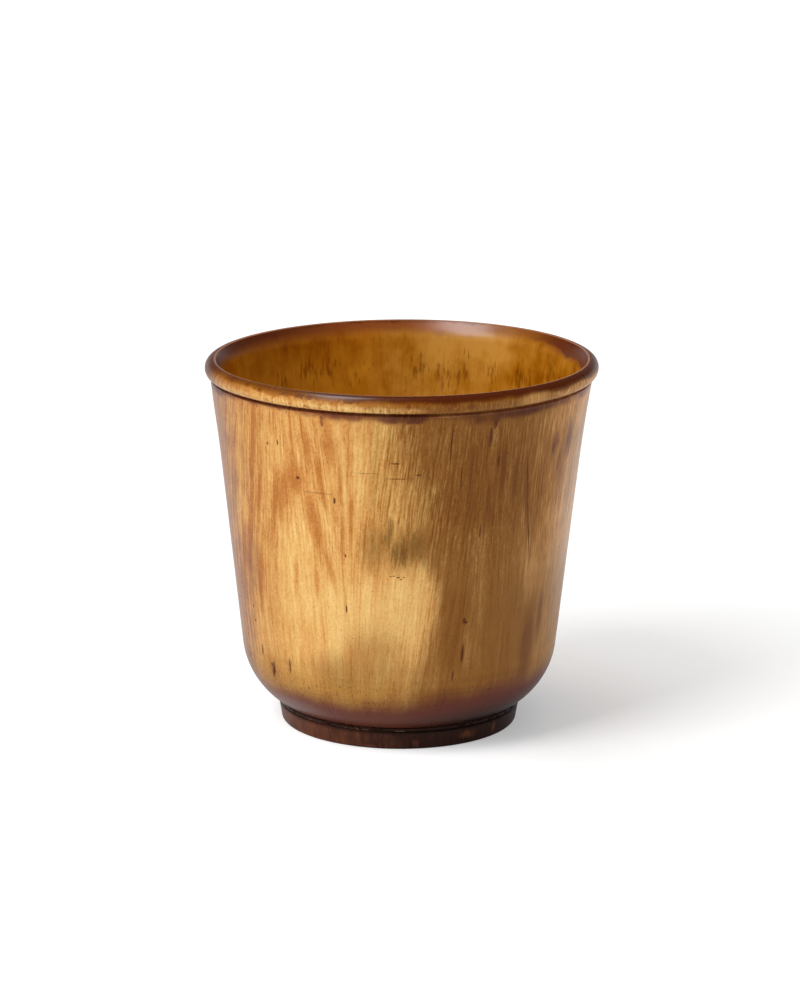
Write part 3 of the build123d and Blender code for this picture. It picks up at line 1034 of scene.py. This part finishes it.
def bead_face(finish, grain, tone, heights):
    """The bead with its browner upper face, flecks, reddish crest and a painted highlight along its worn
    edge.
    """
    graph, colours, around = finish.graph, finish.colours, finish.degrees
    rise = finish.height - heights.bead / MM
    right_rim = dry_side(finish)

    # Brown upper face, with golden places that are partly a painted highlight
    wave = rise + grain.ragged * 0.1 + grain.cloud * 1.7 + grain.pores * 0.6 - 1.0
    front = wave.step(-1.0, 1.1) * around.window(-44, -10, 4, 22)
    mottled = wave.step(-1.3, 0.9) * around.window(-84, -70, -54, -46) * 0.7
    golden = finish.soft(BEAD_GOLD)
    upper = most(front, mottled, wave.step(0.2, 1.0)) * golden.spread(0.9, 0.3)
    toffee = graph.mix(grain.cloud.step(0.4, 0.9) * 0.6, colours.toffee, colours.rust)
    tone = tone.mix(upper, toffee.mix(right_rim * 0.6, colours.bark))
    tone = tone.mix(golden * grain.short.spread(0.3, 0.9), colours.wheat)

    # Flecks along the middle, dark stretches and stains
    flecks = most(finish.pits(230, 1.4, 0.74), finish.pits(420, 0.8, 0.72))
    flecks = flecks * rise.window(-2.2, -1.0, 0.6, 1.6) * grain.cloud.spread(0.2, 0.9)
    tone = tone.mix(flecks, colours.rust).mix(flecks * 0.5, colours.bark)
    ends = around.window(-130, -98, -78, -64) * rise.step(-2.4, 0.0)
    tone = tone.mix(ends * 0.85, colours.lip)
    tone = tone.mix(finish.ragged(BEAD_STAINS, grain.ragged) * 0.8, colours.bark)

    # Crest, and a painted highlight along its worn inner edge
    near = around.window(-8, 2, 16, 28)
    crest = rise + grain.cloud * 0.8 + grain.pores * 0.2 + right_rim * 0.3 + near * 0.3 - 0.4
    deep = around.window(-84, -68, -34, -16).spread(0.95, 0.7)
    tone = tone.mix(crest.step(0.55, 1.85) * deep, colours.lip)
    worn = graph.value("ShaderNodeAttribute", output="Fac", attribute_name="worn")
    # Painted highlight: pale bevel colour and sand on the worn edge of the crest
    crest_glint = graph.mix(around.window(0, 16, 60, 80), colours.bloom, colours.sand)
    return tone.mix(worn.step(0.05, 0.6) * grain.cloud.spread(0.55, 1.0), crest_glint)


def wall_pits(finish, grain, side):
    """Cracks and pits of the wall, with specks of dirt that gather near the bottom."""
    specks = most(finish.pits(430, 1.8, 1.0), finish.pits(640, 0.9, 0.97)) * grain.cloud.spread(0.1, 0.75)
    dashes = finish.pits(520, 1.1, 0.8) * finish.height.window(10.5, 12.5, 16, 20) * side.spread(0.7, 0.2)
    return most(finish.crisp(CRACKS), finish.crisp(PITS), specks, dashes)


def horn_wall():
    """Polished horn of the wall and the bead: grain, colour zones, stains and marks."""
    heights = rim_heights(bpy.context.scene.cup_sizes)
    finish = Finish("horn_wall", 0.12)
    colours = finish.colours
    grain = wall_grain(finish)
    side = dark_side(finish, grain)
    # Light horn on the left and dark on the right: partly the horn's own colours, partly a painted sheen
    tone = light_horn(finish, grain, heights).mix(side, dark_horn(finish, grain))
    tone = tone.tint(finish.degrees.window(-120, -80, -56, -30) * 0.36, colours.honey)
    tone = tone.mix(finish.soft(BROWN_STAINS) * grain.short.spread(0.35, 0.9), colours.bark)
    tone = bowl_bottom(finish, grain, tone, side)
    tone = groove_stain(finish, grain, tone, heights)
    tone = bead_face(finish, grain, tone, heights)
    pits = wall_pits(finish, grain, side)
    scratches = finish.crisp(SCRATCHES)
    tone = tone.mix(pits * 0.85, colours.soot).mix(scratches * 0.7, colours.soot)
    roughness = grain.whole * 0.12 + pits * 0.2 + 0.24
    relief = grain.fine * 0.12 + grain.streak * 0.2 - pits * 0.4 - scratches * 0.2
    gloss = most(finish.soft(LIP_GLOSS), finish.soft(BOWL_GLOSS) * 0.2, finish.soft(EDGE_GLOSS) * 0.3)
    return finish.finish(tone, roughness, relief, 0.07 * MM, gloss)


def horn_lining():
    """Amber inside of the cup, with clouds and dark flecks, and the brown bevel of the lip."""
    sizes = bpy.context.scene.cup_sizes
    finish = Finish("horn_lining", 0.12)
    colours, height = finish.colours, finish.height
    cloud = finish.fibre(50, 6, 0.1, 4.0, 0.55)
    streak = finish.fibre(150, 14, 0.06, 3.0, 0.6, 4.0)
    fine = finish.fibre(420, 6, 0.04, 2.0, 0.6, 9.0)

    # Share of a turn from the back, which gives the shaded left and a pale ledge on the right
    turned = finish.degrees * (1 / 360) + 0.5
    left = turned.window(0.0, 0.08, 0.3, 0.45)
    shade = height.step(72, 84) * left
    ledge = height.window(74, 82, 84, 86) * turned.window(0.87, 0.91, 0.96, 0.99)
    grain = cloud * 0.5 + streak * 0.14 + fine * 0.12 + turned.curve(LINING_LIGHT) - 0.36
    grain = grain - shade * 0.42 + left * 0.2 + ledge * 0.26
    tone = grain.ramp(
        (0.0, colours.fleck), (0.32, colours.syrup), (0.52, colours.amber), (0.9, colours.apricot)
    )

    # Dark streaks and pits, and the resin colour of the shaded side
    near = finish.near(LINING_STREAKS)
    dashes = finish.fibre(300, 3.6, 0.05, 2.0, 0.6, 31.0)
    dashes = (dashes + near * 0.42).step(0.7, 1.12) * near.step(0.0, 0.35)
    pits = finish.pits(260, 2.2, 0.9) * height.step(83, 74) * cloud.spread(0.0, 0.9)
    tone = tone.mix(most(dashes, pits) * 0.55, colours.fleck)
    tone = tone.tint(turned.window(0.0, 0.04, 0.35, 0.5) * 0.85, colours.resin)

    # Bevel, darkest towards the sides, and paler behind on the right, partly paler horn and partly a painted
    # highlight
    crest, ridge = sizes.crest_height / MM, (sizes.crest_height - sizes.lip_bevel) / MM
    wave = height + cloud * 1.2 + streak * 0.5 - turned.window(0.81, 0.85, 0.88, 0.95) * 0.9 - 0.85
    firm = wave.step(ridge - 0.6, ridge + 0.7) * turned.window(0.64, 0.72, 0.86, 0.9)
    bevel = most(wave.step(ridge - 1.2, ridge + 1.6), firm)
    bevel = bevel * turned.window(0.83, 0.87, 0.89, 0.96).spread(1.0, 0.55)
    tone = tone.mix(bevel * 0.9, colours.bevel)
    tone = tone.mix(bevel * abs(finish.degrees).step(168, 130) * 0.7, colours.lip)
    # Paler horn and a painted highlight on the bevel behind on the right
    tone = tone.mix(bevel * turned.window(0.86, 0.95, 0.96, 1.0) * 0.6, colours.bloom)
    tone = tone.mix(wave.step(crest - 1.2, crest - 0.1) * 0.8, colours.lip)
    gloss = height.step(ridge - 5.0, ridge) * turned.window(0.85, 0.94, 0.96, 1.0) * 0.22
    return finish.finish(tone, fine * 0.08 + 0.28, fine * 0.3 + streak * 0.2, 0.05 * MM, gloss)


def foot_horn():
    """Almost black horn of the foot ring, browner on the left, with rubbed edges."""
    sizes = bpy.context.scene.cup_sizes
    finish = Finish("foot_horn", 0.08)
    graph, colours, height = finish.graph, finish.colours, finish.height
    seat = BEAKER_SEAT / MM
    fine = finish.fibre(300, 5, 0.04, 2.0, 0.6)
    patch = finish.fibre(60, 6, 0.1, 4.0, 0.6, 6.0)
    right = finish.degrees.window(-46, 20, 110, 175)
    ragged = (fine + patch) * 0.7 - 0.7
    warm = most(patch * 0.35 - right * 0.6 + 0.35, 0.0) * height.step(seat - 0.8, seat - 2.4)
    warm = most(warm, finish.ragged(FOOT_STREAKS, ragged) * 0.5)
    tone = graph.mix(warm, colours.foot, colours.foot_warm)
    tone = tone.shade(fine * 0.5 + patch * 0.4 + 0.55)

    # Rubbed chips along the seat, and darker in the turned line and at the seat, most on the right
    chipped = finish.ragged(FOOT_CHIPS, ragged) * finish.fibre(120, 1.5, 0.1, 4.0).step(0.36, 0.6)
    tone = tone.mix(chipped * 0.9, colours.foot_worn)
    line = abs(height - (seat - sizes.quirk_drop / MM))
    darkened = most((line + ragged * 0.35).step(0.95, 0.1), height.step(seat - 0.3, seat))
    darkened = darkened * right.spread(0.12, 1.0) * chipped.spread(1.0, 0.2)
    pits = most(finish.pits(330, 1.5, 1.0), darkened)
    tone = tone.mix(pits * 0.8, colours.pitch)
    return finish.finish(tone, fine * 0.1 + chipped * 0.2 + 0.3, fine * 0.4 - pits * 0.6, 0.08 * MM)


def disc_horn():
    """Horn plate of the bottom, cut along the grain."""
    finish = Finish("disc_horn", 0.25)
    graph, colours = finish.graph, finish.colours
    point = graph.point()
    x, y, _ = graph.axes(point)
    grain = graph.noise(graph.vector(x * 900.0, y * 60.0, 3.0), 1.0, 3.0)
    cloud = graph.noise(point, 70.0, 3.0)
    tone = graph.mix(cloud.step(0.35, 0.7), colours.amber, colours.umber)
    tone = tone.mix(finish.height.step(6.0, 5.0), colours.plum).shade(grain.spread(0.7, 1.3))
    rim = (finish.radius + cloud.spread(-2.0, 2.0)).step(17.5, 22.0)
    tone = tone.mix(rim * 0.6, colours.soot)
    return finish.finish(tone, grain.spread(0.32, 0.5), grain, 0.06 * MM)


def pitch():
    """Black-brown pitch in the seam."""
    finish = Finish("pitch", 0.4)
    graph, colours = finish.graph, finish.colours
    lumps = graph.noise(graph.point(), 900.0, 3.0)
    tone = graph.mix(lumps.step(0.4, 0.7), colours.pitch, colours.soot)
    return finish.finish(tone, lumps.spread(0.25, 0.6), lumps, 0.15 * MM)


class RimHeights(NamedTuple):
    """Heights of the rim's turned details."""

    bead: float
    neck: float


def rim_heights(sizes):
    """Heights of the bead's middle and of the wall under the groove."""
    rise = sqrt(sizes.bead_radius**2 - (sizes.bead_radius - sizes.crest_inset) ** 2)
    bead = sizes.crest_height - rise
    bead_end = bead - sizes.bead_radius * sin(sizes.bead_undercut)
    return RimHeights(bead, bead_end - sizes.groove_width)


def disc_bore(sizes):
    """Radius of the bore that the disc closes."""
    return sizes.seat_radius - sizes.foot_wall - sizes.spigot_wall


class Facet:
    """Lengths of the facets along the outlines."""

    bead = 0.28 * MM
    groove = 0.25 * MM
    wall = 0.8 * MM
    corner = 1.2 * MM
    lining = 2.0 * MM
    mouth = 0.25 * MM
    bevel = 0.5 * MM
    crest = 0.08 * MM
    disc = 1.5 * MM
    seam = 0.25 * MM
    foot_edge = 0.15 * MM
    foot_face = 0.3 * MM
    foot_line = 0.2 * MM
    foot_seat = 1.0 * MM


def mirrored(direction, axis):
    """A direction turned to the other side of an axis, pointing along it."""
    along = axis.normalized()
    part = direction.dot(along)
    turned = 2 * part * along - direction
    return turned if part > 0 else -turned


def beaker_outline(sizes):
    """Half section of the beaker, from the crest down its outside and up its inside."""
    heights = rim_heights(sizes)
    crest = Vector((sizes.rim_radius - sizes.crest_inset, sizes.crest_height))
    bead = Vector((sizes.rim_radius - sizes.bead_radius, heights.bead))
    neck = Vector((sizes.rim_radius - sizes.neck_inset, heights.neck))
    shoulder = Vector((sizes.shoulder_radius, sizes.shoulder_height))
    taper = neck - Vector((sizes.flare_reach, 0)) - shoulder
    flare = neck - Vector((sizes.flare_reach, 0)) - taper * (sizes.flare_length / taper.y)

    # Bead, groove, flared wall and shoulder
    outline = Outline(crest)
    crest_angle = atan2(crest.y - bead.y, crest.x - bead.x)
    outline.arc(bead, -(crest_angle + sizes.bead_undercut), Facet.bead)
    outline.line((neck.x - sizes.groove_depth, heights.neck + sizes.groove_width / 2), Facet.groove)
    outline.line(neck, Facet.groove)
    outline.tangent_arc(flare, mirrored(taper, flare - neck), Facet.wall)
    outline.line(shoulder, Facet.wall)
    outline.tangent_arc((sizes.seat_radius, BEAKER_SEAT), -taper, Facet.wall)

    # Seat, spigot, and the groove and trough that hold the disc and the pitch
    spigot = sizes.seat_radius - sizes.foot_wall
    bore = disc_bore(sizes)
    floor = DISC_HIGH.z
    outline.lines(
        (spigot, BEAKER_SEAT),
        (spigot, BEAKER_LOW.z),
        (bore, BEAKER_LOW.z),
        (bore, DISC_MIDDLE - sizes.croze),
        (bore + sizes.croze, DISC_MIDDLE),
        (bore, DISC_MIDDLE + sizes.croze),
        (bore, floor - sizes.seal),
        (bore + sizes.seal, floor),
    )

    # Inside corner and wall
    mouth = Vector((neck.x - sizes.wall, sizes.crest_height - sizes.lip_bevel))
    slope = (mouth.x - sizes.shoulder_radius + sizes.wall) / (mouth.y - sizes.shoulder_height)
    setback = sizes.inside_corner / (slope + sqrt(1 + slope**2))
    corner = mouth.x - slope * (mouth.y - floor) - setback
    outline.line((corner, floor), inside=True)
    centre = (corner, floor + sizes.inside_corner)
    outline.arc(centre, radians(90) - atan2(slope, 1), Facet.corner, inside=True)

    # Bevel of the mouth, between worn edges
    lip_edge = crest - Vector((sizes.crest_land, 0))
    up_wall = (mouth - outline.points[-1]).normalized()
    up_bevel = (lip_edge - mouth).normalized()
    outline.line(mouth - up_wall * sizes.mouth_round, Facet.lining, inside=True)
    outline.tangent_arc(mouth + up_bevel * sizes.mouth_round, up_wall, Facet.mouth, inside=True)
    setback = sizes.crest_round * tan(atan2(up_bevel.y, up_bevel.x) / 2)
    outline.line(lip_edge - up_bevel * setback, Facet.bevel, inside=True)
    # From here on the crest's worn edge, which carries a painted highlight
    outline.worn_from = len(outline.points)
    outline.tangent_arc(lip_edge + Vector((setback, 0)), up_bevel, Facet.crest)
    return outline


class HORNCUP_OT_beaker(bpy.types.Operator):
    """Turn the horn beaker with its bead, groove, shoulder and spigot"""

    bl_idname = "horncup.beaker"
    bl_label = "Horn Beaker"

    def execute(self, context):
        sizes = context.scene.cup_sizes
        warp = {
            "Warp Angle": sizes.warp_angle,
            "Warp Inwards": sizes.warp_inwards,
            "Warp Down": sizes.warp_down,
            "Warp From": sizes.warp_from,
            "Warp To": sizes.crest_height,
        }
        piece = turn("beaker", beaker_outline(sizes), True, horn_wall(), horn_lining(), warp, [GOUGE])
        place_on_frame(piece, "horn_beaker")
        return {"FINISHED"}


class HORNCUP_OT_base_disc(bpy.types.Operator):
    """Turn the horn disc that closes the bottom"""

    bl_idname = "horncup.base_disc"
    bl_label = "Base Disc"

    def execute(self, context):
        sizes = context.scene.cup_sizes
        low, high = DISC_LOW.z, DISC_HIGH.z
        edge = disc_bore(sizes) - sizes.spring_gap
        outline = Outline((0, low))
        outline.line((edge, low), Facet.disc)
        outline.lines(
            (edge, DISC_MIDDLE - sizes.croze),
            (edge + sizes.croze, DISC_MIDDLE),
            (edge, DISC_MIDDLE + sizes.croze),
            (edge, high - sizes.seal),
            (edge - sizes.seal, high),
        )
        outline.line((0, high), Facet.disc)
        place_on_frame(turn("base_plate", outline, False, disc_horn()), "base_disc")
        return {"FINISHED"}


class HORNCUP_OT_pitch_seam(bpy.types.Operator):
    """Fill the trough round the disc with pitch"""

    bl_idname = "horncup.pitch_seam"
    bl_label = "Pitch Seam"

    def execute(self, context):
        sizes = context.scene.cup_sizes
        high = DISC_HIGH.z
        bore = disc_bore(sizes)
        edge = bore - sizes.spring_gap
        outline = Outline((edge, high - sizes.seal))
        outline.lines((bore, high - sizes.seal), (bore + sizes.seal, high))
        outline.line((edge - sizes.seal, high), Facet.seam)
        place_on_frame(turn("seam_pitch", outline, True, pitch()), "pitch_seam")
        return {"FINISHED"}


class HORNCUP_OT_foot_ring(bpy.types.Operator):
    """Turn the foot ring with its line, worn edge and chips"""

    bl_idname = "horncup.foot_ring"
    bl_label = "Foot Ring"

    def execute(self, context):
        sizes = context.scene.cup_sizes
        top = BEAKER_SEAT
        bore = sizes.seat_radius - sizes.foot_wall + sizes.glue_gap
        table = sizes.seat_radius - sizes.foot_taper
        inner = sizes.foot_inner
        line = top - sizes.quirk_drop

        def face(height):
            return table + sizes.foot_taper * height / top

        outline = Outline((bore, inner))
        outline.lines((bore + inner, 0), (table - sizes.foot_edge, 0))
        outline.arc((table - sizes.foot_edge, sizes.foot_edge), radians(90), Facet.foot_edge)
        outline.line((face(line - sizes.quirk_depth), line - sizes.quirk_depth), Facet.foot_face)
        outline.line((face(line) - sizes.quirk_depth, line), Facet.foot_line)
        outline.line((face(line + sizes.quirk_depth), line + sizes.quirk_depth), Facet.foot_line)
        outline.line((face(top - sizes.foot_chamfer), top - sizes.foot_chamfer), Facet.foot_line)
        outline.line((sizes.seat_radius - sizes.foot_chamfer, top), Facet.foot_edge)
        outline.line((bore, top), Facet.foot_seat)
        chips = {
            "Chip Height": top - sizes.chip_drop,
            "Chip Reach": sizes.chip_reach,
            "Chip Depth": sizes.chip_depth,
        }
        place_on_frame(turn("foot", outline, True, foot_horn(), extras=chips), "foot_ring")
        return {"FINISHED"}


def white_floor(studio):
    """Pale floor that shows white to the camera and keeps the shadow."""
    material = bpy.data.materials.new("white_floor")
    graph = empty_graph(material)
    paths = graph.outputs("ShaderNodeLightPath")
    glossy = paths["Is Glossy Ray"] * studio.floor_gloss
    seen = most(paths["Is Camera Ray"], paths["Is Transmission Ray"], glossy)
    point = graph.point()
    x, y, _ = graph.axes(point)
    # Painted light: extra white in front of the cup and to its left, which pales the shadow there
    towards = (x * -1.0 - y).step(-0.02, 0.05)
    far = graph.vectors("LENGTH", point, output="Value").step(0.25, 0.9)
    lift = far * studio.far_lift + towards * studio.near_lift + studio.lift
    matt = graph.value("ShaderNodeBsdfDiffuse", {"Color": FLOOR_GREY})
    glow = graph.value("ShaderNodeEmission", {"Color": WHITE, "Strength": seen * lift})
    both = graph.value("ShaderNodeAddShader", {0: matt, 1: glow})
    graph.add("ShaderNodeOutputMaterial", {"Surface": both})
    return material


def white_world(studio):
    """White surroundings to the camera, a low white backdrop in the gloss, and an even fill for the rest."""
    world = bpy.data.worlds.new("studio")
    bpy.context.scene.world = world
    graph = empty_graph(world)
    paths = graph.outputs("ShaderNodeLightPath")
    _, y, z = graph.axes(graph.value("ShaderNodeTexCoord", output="Generated"))
    backdrop = (y.step(-0.5, 0.3) * z.step(0.24, 0.04)).spread(studio.gloss, 1.0)
    glossy = paths["Is Glossy Ray"] * (backdrop - studio.fill)
    seen = most(paths["Is Camera Ray"], paths["Is Transmission Ray"])
    strength = glossy + seen * (1.0 - studio.fill) + studio.fill
    sky = graph.value("ShaderNodeBackground", {"Color": WHITE, "Strength": strength})
    graph.add("ShaderNodeOutputWorld", {"Surface": sky})


class HORNCUP_OT_stage(bpy.types.Operator):
    """Set up the white floor, the softboxes and the camera"""

    bl_idname = "horncup.stage"
    bl_label = "Studio"

    def execute(self, context):
        scene = context.scene
        studio = scene.cup_studio
        scene.view_settings.view_transform = "Standard"
        half = studio.floor_half
        mesh = bpy.data.meshes.new("floor")
        corners = [(-half, -half, 0), (half, -half, 0), (half, half, 0), (-half, half, 0)]
        mesh.from_pydata(corners, [], [(0, 1, 2, 3)])
        mesh.materials.append(white_floor(studio))
        floor = bpy.data.objects.new("floor", mesh)
        scene.collection.objects.link(floor)
        white_world(studio)
        middle = Vector((0, 0, studio.middle))
        flat = studio.key_distance * cos(studio.key_elevation)
        key = Vector((-flat * sin(studio.key_azimuth), -flat * cos(studio.key_azimuth), 0))
        key.z = studio.key_distance * sin(studio.key_elevation)
        self.add_softbox(scene, "key", middle + key, middle, KEY_SIZE, studio.key_power)
        self.add_softbox(scene, "top", Vector(TOP_PLACE), middle, TOP_SIZE, studio.top_power)
        self.add_camera(scene, studio)
        return {"FINISHED"}

    def add_softbox(self, scene, name, place, aim, size, power):
        light = bpy.data.lights.new(name, "AREA")
        light.shape = "RECTANGLE"
        light.size, light.size_y = size
        light.energy = power
        lamp = bpy.data.objects.new(name, light)
        lamp.location = place
        lamp.rotation_euler = (aim - place).to_track_quat("-Z", "Y").to_euler()
        scene.collection.objects.link(lamp)

    def add_camera(self, scene, studio):
        data = bpy.data.cameras.new("camera")
        data.sensor_fit = "AUTO"
        data.sensor_width = SENSOR_WIDTH
        data.lens = studio.lens
        camera = bpy.data.objects.new("camera", data)
        back = studio.distance * Vector((0, -cos(studio.elevation), sin(studio.elevation)))
        camera.location = Vector((0, 0, studio.middle)) + back
        aim = Vector((studio.aim_side, 0, studio.aim_height))
        look = (aim - camera.location).to_track_quat("-Z", "Y")
        camera.rotation_euler = look.to_euler()
        camera.rotation_euler.rotate_axis("Z", studio.roll)
        scene.collection.objects.link(camera)
        scene.camera = camera


class HORNCUP_PT_panel(bpy.types.Panel):
    """Lists the pieces and the studio"""

    bl_label = "Horn Cup"
    bl_idname = "HORNCUP_PT_panel"
    bl_space_type = "VIEW_3D"
    bl_region_type = "UI"
    bl_category = "Horn Cup"

    def draw(self, context):
        for operator in OPERATORS:
            self.layout.operator(operator.bl_idname)
        for label, group in GROUPS.items():
            box = self.layout.box()
            for name in group.__annotations__:
                box.prop(getattr(context.scene, label), name)


GROUPS = {"cup_sizes": CupSizes, "horn_colours": HornColours, "cup_studio": Studio}
OPERATORS = (
    HORNCUP_OT_beaker,
    HORNCUP_OT_base_disc,
    HORNCUP_OT_pitch_seam,
    HORNCUP_OT_foot_ring,
    HORNCUP_OT_stage,
)


def register():
    for cls in (*GROUPS.values(), *OPERATORS, HORNCUP_PT_panel):
        bpy.utils.register_class(cls)
    for name, group in GROUPS.items():
        setattr(bpy.types.Scene, name, bpy.props.PointerProperty(type=group))


def unregister():
    for name in GROUPS:
        delattr(bpy.types.Scene, name)
    for cls in (HORNCUP_PT_panel, *reversed(OPERATORS), *reversed(GROUPS.values())):
        bpy.utils.unregister_class(cls)


def main():
    """Builds the pieces and the studio."""
    register()
    build_shader_groups()
    bpy.ops.horncup.beaker()
    bpy.ops.horncup.base_disc()
    bpy.ops.horncup.pitch_seam()
    bpy.ops.horncup.foot_ring()
    bpy.ops.horncup.stage()


if __name__ == "__main__":
    main()
